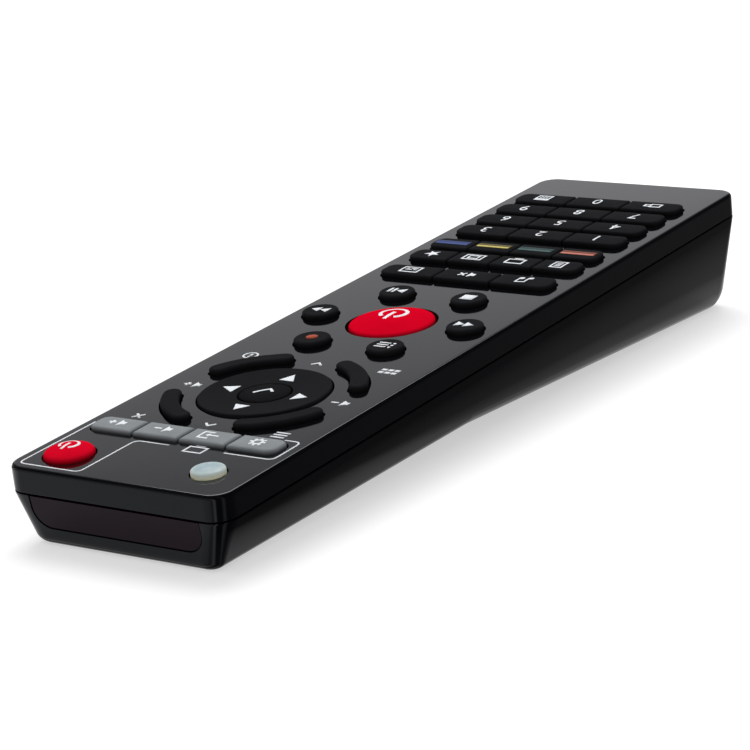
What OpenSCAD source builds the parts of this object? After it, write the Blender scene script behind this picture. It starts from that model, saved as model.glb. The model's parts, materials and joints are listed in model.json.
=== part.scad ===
// Hand-held remote control: a shallow cover over a wedge-shaped case, with a rubber keypad,
// a circuit board and two AAA cells inside. Millimetres. The part stands on its front lower
// edge and its rear underside, +Z up, +Y towards the infrared end, with the keys on top.

/* [Body] */
// Overall length
body_l = 204; // [200:0.5:215]
// Overall width
body_w = 53; // [52:0.5:58]
// Radius of the four upright corners
corner_r = 4.5; // [4:0.25:6]
// Rounding of the edge round the key face
edge_r = 0.9; // [0.5:0.1:1.2]
// Height of the cover's side, from the key face down to the seam
cover_h = 5.5; // [5:0.1:7]
// Thickness of the body at the infrared end
front_depth = 16.2; // [15:0.1:18]
// Thickness of the body at the crease of the underside
crease_depth = 17.2; // [16.5:0.1:19]
// Thickness of the body at the rear end
rear_depth = 28.3; // [26:0.1:30]
// Distance of the crease from the infrared end
crease_from_front = 85; // [70:1:95]
// Inward lean of the case's walls, in degrees
draft = 7.5; // [4:0.5:10]
// How much further in the lower side edges run at the infrared end than at the crease
front_taper = 2.4; // [0:0.1:2.6]
// Rounding under the infrared end
front_r = 2.6; // [2.5:0.1:4]
// Rounding along the lower side edges
side_r = 4.2; // [3:0.1:5]
// Rounding under the rear end
rear_r = 6.5; // [5:0.1:8]

/* [Walls] */
// Thickness of the cover's key face
cover_t = 2; // [1.6:0.1:2.4]
// Thickness of the cover's side wall
side_t = 1.7; // [1.4:0.1:1.9]
// Thickness of the case's wall
case_t = 2.2; // [2:0.1:2.4]
// Height of the shadow groove along the seam
seam_h = 0.35; // [0.2:0.05:0.6]
// Depth of the shadow groove along the seam
seam_d = 0.6; // [0.3:0.05:0.8]
// Height of the case's lip inside the cover
lip_h = 1.1; // [0.6:0.1:1.4]
// Thickness of the case's lip
lip_t = 0.9; // [0.7:0.1:1.2]
// Clearance between pieces that are fixed together
fit_gap = 0.12; // [0.08:0.02:0.2]

/* [Keypad] */
// Clearance round a key in the cover
key_gap = 0.3; // [0.25:0.05:0.4]
// Height of the flat keys above the key face
key_rise = 1.3; // [1:0.05:1.6]
// Rounding of a key's upper edge
key_edge = 0.6; // [0.3:0.05:0.8]
// Travel of a key
key_travel = 0.8; // [0.5:0.05:1]
// Width of the flange under the cover that holds a key in
flange_w = 0.35; // [0.25:0.05:0.45]
// Thickness of that flange
flange_t = 0.6; // [0.4:0.05:0.8]
// Clearance between a flange and the sheet or the cover
flange_gap = 0.2; // [0.15:0.05:0.3]
// Radius of the conductive pill under a key
pill_r = 1.6; // [1:0.1:1.9]
// Thickness of the pill
pill_t = 0.3; // [0.2:0.05:0.4]
// Room left between the pill and the board at the end of the travel
stop_gap = 0.1; // [0.05:0.05:0.2]

/* [Key rows] */
// Room between the television row's slot and the side of the body
tv_row_margin = 3.5; // [3:0.1:4.5]
// Room between another row's slot and the side
row_margin = 4.2; // [3.5:0.1:5]
// Depth of a row's slot
row_d = 6.9; // [6:0.1:7.2]
// Corner radius of a row's slot
row_r = 2.5; // [1.5:0.1:3]
// Gap between two keys of a row
key_split = 0.5; // [0.3:0.05:0.8]
// Corner radius of a key where it meets the next one
inner_r = 0.9; // [0.6:0.1:1.2]
// Room between two rows of one group
row_space = 1.9; // [1.5:0.1:2.4]
// Room for the screw posts between the sound row and the service row
post_space = 4.8; // [4.6:0.1:5.4]
// Share of the free length that lies before the television row
tv_share = 0.162; // [0.12:0.001:0.2]
// Share of the free length between the ring's keys and the main power key's circle
ring_share = 0.141; // [0.1:0.001:0.16]
// Share of the free length that lies before the sound row
sound_share = 0.161; // [0.12:0.001:0.2]
// Share of the free length that lies before the digit rows
digit_share = 0.106; // [0.08:0.001:0.14]

/* [Round keys] */
// Room between the television row and the curved keys round the ring
arc_space = 2.25; // [1.4:0.05:2.8]
// Diameter of the ring's hole in the cover
ring_d = 27.9; // [26:0.1:28.5]
// Diameter of the hole in the ring
ok_d = 11.3; // [9:0.1:12]
// Height of the ring above the key face
ring_rise = 1; // [0.6:0.05:1.4]
// Height of the ring's middle key above the key face
ok_rise = 1.5; // [1:0.05:1.8]
// Tilt of the ring, in degrees each way
ring_tilt = 2.2; // [1:0.1:2.2]
// Radius of the middle of the curved keys round the ring
arc_r = 19.1; // [18.8:0.1:20]
// Width of a curved key's slot
arc_d = 4.4; // [4:0.1:5]
// Half angle between the end centres of a curved key
arc_half = 21.5; // [16:0.5:24]
// Diameter of the main power key's hole
power_d = 20; // [18:0.1:21]
// Clearance round the main power key in its hole
power_gap = 0.7; // [0.4:0.05:0.9]
// Height of the main power key's dome above the key face
power_rise = 1.9; // [1.2:0.1:2.5]
// Height of its rim above the key face
power_rim = 0.4; // [0.2:0.1:0.8]
// Distance of the outermost keys of its circle from the side of the body
orbit_margin = 7.9; // [7.5:0.1:8.5]
// Diameter of the holes of those keys
orbit_d = 8.6; // [7.5:0.1:9]
// Distance of the television power key from the infrared end
tv_power_at = 9; // [8.6:0.1:10]
// Distance of the television power key from the side
tv_power_margin = 9.6; // [9.5:0.1:11.5]
// Diameter of the television power key's hole
tv_power_d = 10.8; // [9:0.1:11]
// Height of the television power key's dome above the key face
tv_power_rise = 2.2; // [1.5:0.1:2.6]
// Height of its rim above the key face
tv_power_rim = 0.8; // [0.4:0.1:1.2]
// Distance of the indicator lens from the infrared end
lens_at = 10; // [9:0.1:11]
// Distance of the indicator lens from the side
lens_margin = 10.3; // [9.5:0.1:11.5]
// Diameter of the indicator lens
lens_d = 7.2; // [6:0.1:8]
// Height of the lens above the key face
lens_rise = 1.2; // [0.6:0.1:1.6]

/* [Infrared window] */
// Room between the window and the side of the body at the seam
window_margin = 5.9; // [5.5:0.1:8.5]
// Height of the window
window_h = 6.7; // [5.5:0.1:7]
// Radius of its lower corners
window_r = 4.2; // [2:0.1:4.5]
// Thickness of the window
window_t = 1.5; // [1.2:0.1:1.6]
// How far the window's face lies behind the wall
window_inset = 0.15; // [0:0.05:0.3]
// Width of the ledge behind the window's edge
window_ledge = 0.8; // [0.5:0.1:1.2]

/* [Battery bay] */
// Diameter of a cell
cell_d = 10.5; // [10:0.1:10.6]
// Length of a cell with its cap
cell_l = 44.5; // [43:0.1:45]
// Space between the two cells
cell_split = 1; // [0.6:0.1:2]
// Length of a contact spring, pressed
spring_l = 4.4; // [3.6:0.1:5]
// Share of the free length that lies behind the bay
bay_share = 0.312; // [0.29:0.001:0.36]
// Width of the battery door
door_w = 31; // [30:0.5:34]
// Thickness of the door's outer skin
door_skin = 1.2; // [1:0.1:1.4]
// Thickness of the door's side tongues
tongue_t = 1; // [0.8:0.1:1.2]
// Width of the door's side tongues
tongue_w = 1.2; // [0.8:0.1:1.5]
// Clearance round the door
door_gap = 0.2; // [0.15:0.05:0.3]
// Distance from the screw bosses to the door's front edge
door_lead = 1; // [0.6:0.1:3]

/* [Board] */
// Thickness of the circuit board
board_t = 1.2; // [0.8:0.1:1.6]
// Radius of the cover's screw posts
post_r = 1.5; // [1.4:0.05:1.6]
// Distance between the two screw posts
post_pitch = 22; // [18:0.5:24]
// Radius of the screws
screw_r = 0.85; // [0.7:0.05:0.9]
// Radius of the screws' heads
head_r = 1.9; // [1.6:0.1:2.1]
// Diameter of the infrared emitter
emitter_d = 5; // [4:0.1:5.2]

/* [Hidden] */
$fn = 64;
far = 300;
skin = 0.1;

// Places across the body, from its sides
half_l = body_l / 2;
half_w = body_w / 2;
tv_row_w = body_w - 2 * tv_row_margin;
row_w = body_w - 2 * row_margin;
window_w = body_w - 2 * window_margin;
orbit_r = half_w - orbit_margin;
tv_power_x = half_w - tv_power_margin;
lens_x = lens_margin - half_w;

// Places along the body, from the infrared end: what the keys leave free is shared out between them
row_pitch = row_d + row_space;
tv_power_reach = tv_power_at + tv_power_d / 2;
arc_reach = arc_r * sin(45 + arc_half) + arc_d / 2;
orbit_reach = orbit_r * sin(60) + orbit_d / 2;
rows_l = 4 * row_d + 4 * row_pitch + post_space;
free_l = body_l - tv_power_reach - arc_space - 2 * arc_reach - 2 * orbit_reach - rows_l;
tv_row_at = tv_power_reach + tv_share * free_l + row_d / 2;
ring_at = tv_row_at + row_d / 2 + arc_space + arc_reach;
power_at = ring_at + arc_reach + ring_share * free_l + orbit_reach;
sound_row_at = power_at + orbit_reach + sound_share * free_l + row_d / 2;
service_row_at = sound_row_at + row_d + post_space;
colour_row_at = service_row_at + row_pitch;
digit_row_at = colour_row_at + row_d + digit_share * free_l;
bay_from_rear = bay_share * free_l;

// Names of the keys, each row from left to right with the infrared end pointing away
tv_row = ["tv_set_key", "tv_source_key", "tv_volume_down_key", "tv_volume_up_key"];
sound_row = ["audio_key", "mute_key", "subtitle_key"];
service_row = ["teletext_key", "tv_radio_key", "format_key", "favourites_key"];
colour_row = ["red_key", "green_key", "yellow_key", "blue_key"];
digit_rows = [
    ["digit_1_key", "digit_2_key", "digit_3_key"],
    ["digit_4_key", "digit_5_key", "digit_6_key"],
    ["digit_7_key", "digit_8_key", "digit_9_key"],
    ["usb_key", "digit_0_key", "plan_key"]
];
arc_keys = ["exit_key", "menu_key", "guide_key", "info_key"];
orbit_keys = ["forward_key", "record_key", "list_key", "rewind_key", "stop_key", "play_pause_key"];

// Each row as its distance from the infrared end, its names, its colour and its width
rubber = "#26272a";
rows = concat(
    [
        [tv_row_at, tv_row, "#b9bcc0", tv_row_w],
        [sound_row_at, sound_row, rubber, row_w],
        [service_row_at, service_row, rubber, row_w],
        [colour_row_at, colour_row, rubber, row_w]
    ],
    [for (i = [0:len(digit_rows) - 1]) [digit_row_at + i * row_pitch, digit_rows[i], rubber, row_w]]
);

// Heights below the key face
flange_z = -(cover_t + flange_gap);
foot_z = flange_z - flange_t;
board_z = foot_z - pill_t - key_travel - stop_gap;
board_under = board_z - board_t;
sheet_z = -(cover_t + fit_gap);
rim_h = 0.3;
draft_z = -(cover_h + rim_h);
collar_t = 0.6;
collar_w = 0.7;
web_t = 0.5;
web_w = 1;
ring_lift = (ring_d / 2 + web_w) * sin(ring_tilt);
web_z = -(cover_t + ring_lift + flange_gap);
pivot_z = web_z - web_t / 2;

// The underside: two planes that meet at the crease, and the balls that round its edges
crease_y = half_l - crease_from_front;
front_slope = atan((crease_depth - front_depth) / crease_from_front);
rear_slope = atan((rear_depth - crease_depth) / (body_l - crease_from_front));
front_reach = half_l + -draft_z * tan(draft) - front_r / cos(draft);
front_ball_z = (-crease_depth + (front_reach - crease_y) * tan(front_slope) + front_r / cos(front_slope))
    / (1 - tan(front_slope) * tan(draft));
front_ball_y = front_reach + front_ball_z * tan(draft);
rear_reach = half_l + -draft_z * tan(draft) - rear_r / cos(draft);
rear_ball_z = (-crease_depth - (rear_reach + crease_y) * tan(rear_slope) + rear_r / cos(rear_slope))
    / (1 + tan(rear_slope) * tan(draft));
rear_ball_y = -rear_reach - rear_ball_z * tan(draft);

// The stand: the line under both ends lies on the table, and the body is centred over the origin
tilt = atan2(front_ball_z - rear_ball_z, front_ball_y - rear_ball_y)
    + asin((rear_r - front_r) / norm([front_ball_z - rear_ball_z, front_ball_y - rear_ball_y]));
stand_z = front_r - front_ball_z * cos(tilt) + front_ball_y * sin(tilt);
front_end = (half_l - edge_r) * cos(tilt) - edge_r * sin(tilt) + edge_r;
rear_end = -half_l * cos(tilt) + draft_z * sin(tilt);
stand_y = -(front_end + rear_end) / 2;

// The battery bay, along the rear underside: x across, y forward from the crease, z inward
door_top = door_skin + tongue_t + door_gap;
plate_t = 0.4;
dimple_h = 0.5;
bay_l = 2 * plate_t + dimple_h + cell_l + spring_l;
bay_w = 2 * cell_d + cell_split + 2 * fit_gap;
bay_h = door_top + cell_d + 3 * fit_gap;
bay_wall = 1.2;
bay_rear = -(body_l - crease_from_front) / cos(rear_slope) + bay_from_rear;
bay_front = bay_rear + bay_l;
cell_x = (cell_d + cell_split) / 2;
cell_z = door_top + fit_gap + cell_d / 2;

// The screw posts stand between the sound row and the service row, over the door's front end
post_at = (sound_row_at + service_row_at) / 2;
post_back = half_l - post_at - crease_y;
boss_wall = 1.3;
boss_r = head_r + boss_wall;
head_h = 1.3;
head_room = 3;
seat_z = -crease_depth + post_back * tan(rear_slope) + door_top + head_h + head_room;
door_front = post_back / cos(rear_slope) + boss_r + door_lead;

// The grooves of the door's thumb grip, shorter towards its ends
grip_grooves = 6;
grip_pitch = 1.8;
grip_from_edge = 2;
grip_r = 0.5;
grip_w = 14;
grip_step = 1.6;

// The posts of the case that carry the board
prop_from_end = 16;
prop_from_rear = 11;
prop_margin = 7.5;
prop_at = [prop_from_end, (ring_at + power_at) / 2, body_l - prop_from_rear];
prop_x = half_w - prop_margin;
prop_r = 2;

// The lip's root in the case, and the emitter behind the window
lip_root = 1.5;
emitter_l = 8.6;
emitter_gap = 0.6;
emitter_z = -(cover_h + window_h / 2);
emitter_y = half_l + (emitter_z - draft_z) * tan(draft) - window_t / cos(draft) - emitter_gap;
lead_x = 1.27;

// The parts under the board
chip_at = 62;
part_at = 80;
part_x = 12;

function at(distance) = half_l - distance;
function key_w(row) = (row[3] - 2 * key_gap - (len(row[1]) - 1) * key_split) / len(row[1]);
function side_x(z, a, c) =
    half_w - (draft_z - z) * tan(draft) - norm([a * cos(draft), c * sin(draft)]) / cos(draft);

// From the key face's own frame to the way the part stands
module stand() translate([0, stand_y, stand_z]) rotate([-tilt, 0, 0]) children();

// From the key face's frame to the rear underside
module on_underside() translate([0, crease_y, -crease_depth]) rotate([rear_slope, 0, 0]) children();

// From the key face's frame to the front wall, with y pointing out of it
module on_front_wall() translate([0, half_l, draft_z]) rotate([-draft, 0, 0]) children();

module both_sides() for (side = [-1, 1]) scale([side, 1, 1]) children();

// A rectangle with round corners
module rounded(w, l, r) {
    square([w - 2 * r, l], center = true);
    square([w, l - 2 * r], center = true);
    for (x = [-1, 1], y = [-1, 1]) translate([x * (w / 2 - r), y * (l / 2 - r)]) circle(r);
}

// The plan of the body, drawn in from its outside
module plan(inset) rounded(body_w - 2 * inset, body_l - 2 * inset, corner_r - inset);

// A band of space between two heights, or at every height
module between(low, high) translate([0, 0, low]) linear_extrude(high - low) children();

module through() between(-far, far) children();

// A ball that rounds a corner of the underside, flattened to the side rounding across the body
module corner_ball(y, z, r, inset, taper = 0) {
    x = side_x(z, side_r, r) - taper;
    both_sides() translate([x, y, z])
        scale([(side_r - inset) / (r - inset), 1, 1]) sphere(r - inset, $fn = 32);
}

// The upright corners of the case at the seam
module corner_posts(y, inset, rise) {
    both_sides() translate([half_w - corner_r, y, draft_z])
        cylinder(r = corner_r - inset, h = rim_h + rise, $fn = 32);
}

// The case's form in front of the crease, drawn in from its outside
module front_form(inset, rise = 0) {
    ball_z = -crease_depth + side_r / cos(front_slope);
    hull() {
        corner_posts(half_l - corner_r, inset, rise);
        corner_posts(crease_y, inset, rise);
        corner_ball(front_ball_y, front_ball_z, front_r, inset, front_taper);
        corner_ball(crease_y, ball_z, side_r, inset);
    }
}

// The case's form behind the crease
module rear_form(inset, rise = 0) {
    ball_z = -crease_depth + side_r / cos(rear_slope);
    hull() {
        corner_posts(corner_r - half_l, inset, rise);
        corner_posts(crease_y, inset, rise);
        corner_ball(rear_ball_y, rear_ball_z, rear_r, inset);
        corner_ball(crease_y, ball_z, side_r, inset);
    }
}

module case_form(inset, rise = 0) {
    front_form(inset, rise);
    rear_form(inset, rise);
}

// The openings of the keys and the lens, each drawn out by a margin
module row_slot(width, margin) rounded(width + 2 * margin, row_d + 2 * margin, row_r + margin);

module arc_slot(width) {
    rotate(-arc_half) rotate_extrude(angle = 2 * arc_half) translate([arc_r, 0])
        square([width, 2 * far], center = true);
    for (turn = [-arc_half, arc_half]) rotate(turn) translate([arc_r, 0]) through() circle(width / 2);
}

module at_arc(i) translate([0, at(ring_at)]) rotate(45 + 90 * i) children();

module at_orbit(i) translate([0, at(power_at)])
    rotate(60 * i) translate([orbit_r, 0]) rotate(-60 * i) children();

module key_openings(margin) {
    through() {
        for (row = rows) translate([0, at(row[0])]) row_slot(row[3], margin);
        for (i = [0:5]) at_orbit(i) circle(orbit_d / 2 + margin);
        translate([0, at(power_at)]) circle(power_d / 2 + margin);
        translate([tv_power_x, at(tv_power_at)]) circle(tv_power_d / 2 + margin);
    }
    for (i = [0:3]) at_arc(i) arc_slot(arc_d + 2 * margin);
}

module at_posts() for (side = [-1, 1]) translate([side * post_pitch / 2, at(post_at)]) children();

// The cover: a tray with an eased upper edge, the openings of the keys and two screw posts
module cover_block() {
    between(-cover_h, -edge_r) plan(0);
    between(-cover_h, 0) plan(edge_r);
    for (side = [-1, 1]) {
        translate([side * (half_w - edge_r), 0, -edge_r]) rotate([90, 0, 0])
            cylinder(r = edge_r, h = body_l - 2 * corner_r, center = true);
        translate([0, side * (half_l - edge_r), -edge_r]) rotate([0, 90, 0])
            cylinder(r = edge_r, h = body_w - 2 * corner_r, center = true);
    }
    for (x = [-1, 1], y = [-1, 1])
        translate([x * (half_w - corner_r), y * (half_l - corner_r), -edge_r])
            rotate_extrude() translate([corner_r - edge_r, 0]) circle(edge_r);
}

module top_cover() color("#17181a") stand() {
    difference() {
        cover_block();
        between(-far, -cover_t) plan(side_t);
        key_openings(0);
        through() translate([0, at(ring_at)]) circle(ring_d / 2);
        through() translate([lens_x, at(lens_at)]) circle(lens_d / 2 + fit_gap);
        between(-far, -cover_h + seam_h) difference() {
            square([2 * body_w, 2 * body_l], center = true);
            plan(seam_d);
        }
    }
    difference() {
        between(board_under, -cover_t + skin) at_posts() circle(post_r);
        between(-far, -cover_t) at_posts() circle(screw_r);
    }
}

// The case: a hollow wedge with a lip, the battery bay, screw bosses and posts under the board
module bay_walls() {
    frame_w = door_w + 2 * (tongue_w + door_gap + bay_wall);
    on_underside() {
        translate([-frame_w / 2, -far, case_t / 2])
            cube([frame_w, far + door_front + door_gap + bay_wall, door_top + bay_wall - case_t / 2]);
        translate([-(bay_w / 2 + bay_wall), bay_rear - bay_wall, door_top])
            cube([bay_w + 2 * bay_wall, bay_l + 2 * bay_wall, bay_h + bay_wall - door_top]);
    }
}

module board_posts() {
    between(-far, board_under) {
        at_posts() circle(boss_r);
        for (x = [-1, 1], distance = prop_at) translate([x * prop_x, at(distance)]) circle(prop_r);
    }
}

module door_space() on_underside() {
    translate([-(door_w / 2 + door_gap), -far, -far])
        cube([door_w + 2 * door_gap, far + door_front + door_gap, far + door_top]);
    translate([-(door_w / 2 + tongue_w + door_gap), -far, door_skin - door_gap])
        cube([door_w + 2 * (tongue_w + door_gap), far + door_front + door_gap, tongue_t + 2 * door_gap]);
    translate([-bay_w / 2, bay_rear, 0]) cube([bay_w, bay_l, bay_h]);
}

// The window's outline on the front wall, drawn out by a margin, up to a given height
module window_outline(margin, top) intersection() {
    translate([0, rim_h]) rounded(window_w + 2 * margin, 2 * (window_h + margin), window_r + margin);
    translate([-far, top - far]) square([2 * far, far]);
}

module window_plate(outside, inside, margin, top) {
    on_front_wall() translate([0, outside, 0]) rotate([90, 0, 0])
        linear_extrude(outside + inside) window_outline(margin, top);
}

module bottom_case() color("#121315") stand() difference() {
    union() {
        difference() {
            case_form(0);
            case_form(case_t, cover_h);
        }
        between(-cover_h - lip_root, -cover_h + lip_h) difference() {
            plan(side_t + fit_gap);
            plan(side_t + fit_gap + lip_t);
        }
        intersection() {
            case_form(case_t / 2, cover_h);
            union() {
                bay_walls();
                board_posts();
            }
        }
    }
    door_space();
    window_plate(case_t, window_t + fit_gap, fit_gap, window_h);
    window_plate(case_t, 4 * case_t, -window_ledge, -lip_root);
    through() at_posts() circle(screw_r + flange_gap);
    between(-far, seat_z) at_posts() circle(head_r + flange_gap);
}

// The battery door: a skin flush with the underside, side tongues and a grooved thumb grip
module battery_door() color("#121315") stand() difference() {
    intersection() {
        rear_form(0);
        on_underside() {
            translate([-door_w / 2, -far, -far]) cube([door_w, far + door_front, far + door_skin + tongue_t]);
            translate([-(door_w / 2 + tongue_w), -far, door_skin])
                cube([door_w + 2 * tongue_w, far + door_front, tongue_t]);
        }
    }
    on_underside() for (i = [1:grip_grooves])
        translate([0, door_front - grip_from_edge - grip_pitch * i, 0]) rotate([0, 90, 0])
            cylinder(r = grip_r, h = grip_w - abs(i - (grip_grooves + 1) / 2) * grip_step, center = true);
}

// The window fills its opening and ends level with the seam
module ir_window() color("#3a0f12") stand() intersection() {
    window_plate(-window_inset, window_t, 0, window_h);
    between(-far, -cover_h) square(2 * far, center = true);
}

// The lens: a clouded button with a collar under the cover
module indicator_lens() color("#dfe6e8") stand() translate([lens_x, at(lens_at)]) rotate_extrude() {
    side_h = 0.5;
    dome_r = (pow(lens_d / 2, 2) + pow(lens_rise - side_h, 2)) / (2 * (lens_rise - side_h));
    translate([0, -cover_t - collar_t]) square([lens_d / 2, cover_t + collar_t + side_h]);
    translate([0, -cover_t - collar_t]) square([lens_d / 2 + collar_w, collar_t]);
    intersection() {
        translate([0, lens_rise - dome_r]) circle(dome_r);
        square([lens_d / 2, lens_rise]);
    }
}

// The rubber sheet that the keys grow out of, over the board
module keypad_sheet() color("#1f2022") stand() difference() {
    between(board_z, sheet_z) plan(side_t + fit_gap);
    key_openings(flange_w + flange_gap);
    through() translate([0, at(ring_at)]) circle(ring_d / 2 + web_w + flange_gap);
    through() translate([lens_x, at(lens_at)]) circle(lens_d / 2 + collar_w + flange_gap);
    through() at_posts() circle(post_r + flange_gap);
}

module circuit_board() color("#2f6b3c") stand() between(board_under, board_z) difference() {
    plan(side_t + 3 * fit_gap + lip_t);
    at_posts() circle(post_r + flange_gap);
}

// The infrared emitter under the board's front edge, with its two legs
module ir_led() color("#4a4456") stand() translate([0, emitter_y, emitter_z]) {
    r = emitter_d / 2;
    rim_w = 0.4;
    rim_t = 1;
    leg_r = 0.3;
    leg_l = 2;
    rotate([90, 0, 0]) rotate_extrude() {
        intersection() {
            translate([0, r]) circle(r);
            square([r, r]);
        }
        translate([0, r]) square([r, emitter_l - r]);
        translate([0, emitter_l - rim_t]) square([r + rim_w, rim_t]);
    }
    for (side = [-1, 1]) translate([side * lead_x, -emitter_l, 0]) {
        translate([0, skin, 0]) rotate([90, 0, 0]) cylinder(r = leg_r, h = leg_l + skin);
        translate([0, -leg_l, -leg_r]) cylinder(r = leg_r, h = board_under - emitter_z + leg_r);
    }
}

// The small lamp on the board under the lens
module indicator_led() color("#f0ead0") stand() translate([lens_x, at(lens_at), board_z]) {
    base_l = 3.2;
    base_w = 1.6;
    base_h = 0.6;
    lamp_l = 2;
    lamp_w = 1.4;
    lamp_h = 1;
    between(0, base_h) square([base_l, base_w], center = true);
    between(0, lamp_h) square([lamp_l, lamp_w], center = true);
}

// The controller on the underside of the board: a body with a row of bent legs on each side
module controller_chip() color("#1c1c1e") stand() translate([0, at(chip_at), board_under]) {
    chip_l = 18;
    chip_w = 7.5;
    chip_h = 2.2;
    lift = 0.1;
    legs = 14;
    pitch = 1.27;
    leg_w = 0.4;
    leg_t = 0.25;
    leg_reach = 1.4;
    drop = 1.3;
    root = chip_w / 2 - leg_t;
    knee = chip_w / 2 + leg_t;
    toe = chip_w / 2 + leg_reach;
    between(-chip_h - lift, -lift) square([chip_l, chip_w], center = true);
    for (i = [0:legs - 1], turn = [0, 180]) rotate(turn)
        translate([(i - (legs - 1) / 2) * pitch - leg_w / 2, 0, 0]) rotate([90, 0, 90]) linear_extrude(leg_w)
            polygon([
                [root, -drop], [knee + leg_t, -drop], [knee + leg_t, -leg_t], [toe, -leg_t],
                [toe, 0], [knee, 0], [knee, leg_t - drop], [root, leg_t - drop]
            ]);
}

module resonator() color("#c9a35a") stand() translate([part_x, at(part_at), board_under]) {
    disc_l = 7.6;
    disc_w = 3.2;
    disc_r = 1.5;
    disc_h = 3.1;
    lift = 0.3;
    leg_x = 2.5;
    leg_r = 0.25;
    between(-disc_h - lift, -lift) rounded(disc_l, disc_w, disc_r);
    for (side = [-1, 1]) translate([side * leg_x, 0, -2 * lift]) cylinder(r = leg_r, h = 2 * lift);
}

// The capacitor: a sleeved can with a groove near its foot
module capacitor() color("#26356b") stand() translate([-part_x, at(part_at), board_under]) rotate([180, 0, 0])
    rotate_extrude() {
        can_r = 2.5;
        can_h = 7;
        bevel = 0.2;
        groove_low = 1.2;
        groove_high = 1.6;
        square([can_r - bevel, can_h]);
        translate([0, bevel]) square([can_r, groove_low - bevel]);
        translate([0, groove_high]) square([can_r, can_h - bevel - groove_high]);
    }

// A cell along y, with its cap at the far end
module cell() {
    cap_h = 1;
    cap_r = 1.9;
    bevel = 0.4;
    can_l = cell_l - cap_h;
    rotate([-90, 0, 0]) rotate_extrude() {
        translate([0, bevel]) square([cell_d / 2, can_l - 2 * bevel]);
        square([cell_d / 2 - bevel, can_l]);
        square([cap_r, cell_l]);
    }
}

module battery_right() color("#3b4a57") stand() on_underside()
    translate([cell_x, bay_front - plate_t - dimple_h - cell_l, cell_z]) cell();

module battery_left() color("#3b4a57") stand() on_underside()
    translate([-cell_x, bay_rear + plate_t + dimple_h + cell_l, cell_z]) rotate([0, 0, 180]) cell();

// A contact spring along z: one wire wound in a cone, swept as a tube
wire_d = 0.6;
spring_turns = 3;
spring_low_r = 3.7;
spring_high_r = 2.5;
spring_sides = 8;
spring_steps = 12 * spring_turns;
spring_pitch = (spring_l - wire_d) / spring_turns;
function coil_point(i) =
    let (turn = 360 * i * spring_turns / spring_steps)
    let (r = spring_low_r + (spring_high_r - spring_low_r) * i / spring_steps)
    [r * cos(turn), r * sin(turn), wire_d / 2 - skin + (spring_l - wire_d) * i / spring_steps];
function coil_ring(i) =
    let (turn = 360 * i * spring_turns / spring_steps)
    [for (j = [0:spring_sides - 1])
        let (around = 360 * j / spring_sides)
        coil_point(i) + wire_d / 2 * [cos(around) * cos(turn), cos(around) * sin(turn), sin(around)]];
echo(least_gap_in_spring = norm([spring_pitch, (spring_low_r - spring_high_r) / spring_turns]) - wire_d);

module contact_spring() {
    last = spring_steps * spring_sides;
    polyhedron(
        points = [for (i = [0:spring_steps]) each coil_ring(i)],
        faces = [
            [for (j = [spring_sides - 1:-1:0]) j],
            [for (j = [0:spring_sides - 1]) last + j],
            for (i = [0:spring_steps - 1], j = [0:spring_sides - 1])
                let (a = i * spring_sides + j)
                let (b = i * spring_sides + (j + 1) % spring_sides)
                each [[a, b, a + spring_sides], [b, b + spring_sides, a + spring_sides]]
        ]
    );
}

// A contact plate standing in the bay, with z pointing at the cell
plate_margin = 0.75;
plate_w = cell_d - 2 * plate_margin;
module contact_plate(width) translate([-width / 2, -plate_w / 2, -plate_t]) cube([width, plate_w, plate_t]);

module dimple() {
    foot_r = 2.2;
    tip_r = 1.5;
    translate([0, 0, -skin]) cylinder(r1 = foot_r, r2 = tip_r, h = dimple_h + skin);
}

module at_bay_rear(x) stand() on_underside()
    translate([x, bay_rear + plate_t, cell_z]) rotate([-90, 0, 0]) children();

module at_bay_front(x) stand() on_underside()
    translate([x, bay_front - plate_t, cell_z]) rotate([90, 0, 0]) children();

module negative_contact() color("#c8c8c4") at_bay_rear(cell_x) {
    contact_plate(plate_w);
    contact_spring();
}

module positive_contact() color("#c8c8c4") at_bay_rear(-cell_x) {
    contact_plate(plate_w);
    dimple();
}

module bridge_contact() color("#c8c8c4") at_bay_front(0) {
    contact_plate(plate_w + 2 * cell_x);
    translate([cell_x, 0, 0]) dimple();
    translate([-cell_x, 0, 0]) contact_spring();
}

// The two screws under the battery door, from the case into the cover's posts
module case_screws() color("#9a9da1") stand() at_posts() translate([0, 0, seat_z]) rotate_extrude() {
    bevel = 0.3;
    thread_gap = 0.02;
    translate([0, -head_h]) square([head_r - bevel, head_h]);
    translate([0, -head_h + bevel]) square([head_r, head_h - bevel]);
    square([screw_r - thread_gap, -seat_z - cover_t - fit_gap]);
}

// A row key: a block with soft upper edges, rounder at the ends of its row
module bead(r) rotate_extrude() intersection() {
    translate([r - key_edge, 0]) circle(key_edge);
    translate([0, -key_edge]) square([r, 2 * key_edge]);
}

module key_corner(x, y, r) translate([x, y, 0]) {
    between(foot_z + skin, key_rise - key_edge) circle(r);
    translate([0, 0, key_rise - key_edge]) bead(r);
}

module flange_outline(w, d, left_r, right_r) {
    translate([left_r - w / 2, -d / 2]) square([w - left_r - right_r, d]);
    translate([-w / 2, left_r - d / 2]) square([left_r, d - 2 * left_r]);
    translate([w / 2 - right_r, right_r - d / 2]) square([right_r, d - 2 * right_r]);
    for (side = [-1, 1]) {
        translate([left_r - w / 2, side * (d / 2 - left_r)]) circle(left_r);
        translate([w / 2 - right_r, side * (d / 2 - right_r)]) circle(right_r);
    }
}

module pill() between(foot_z - pill_t, foot_z + skin) circle(pill_r);

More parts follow.
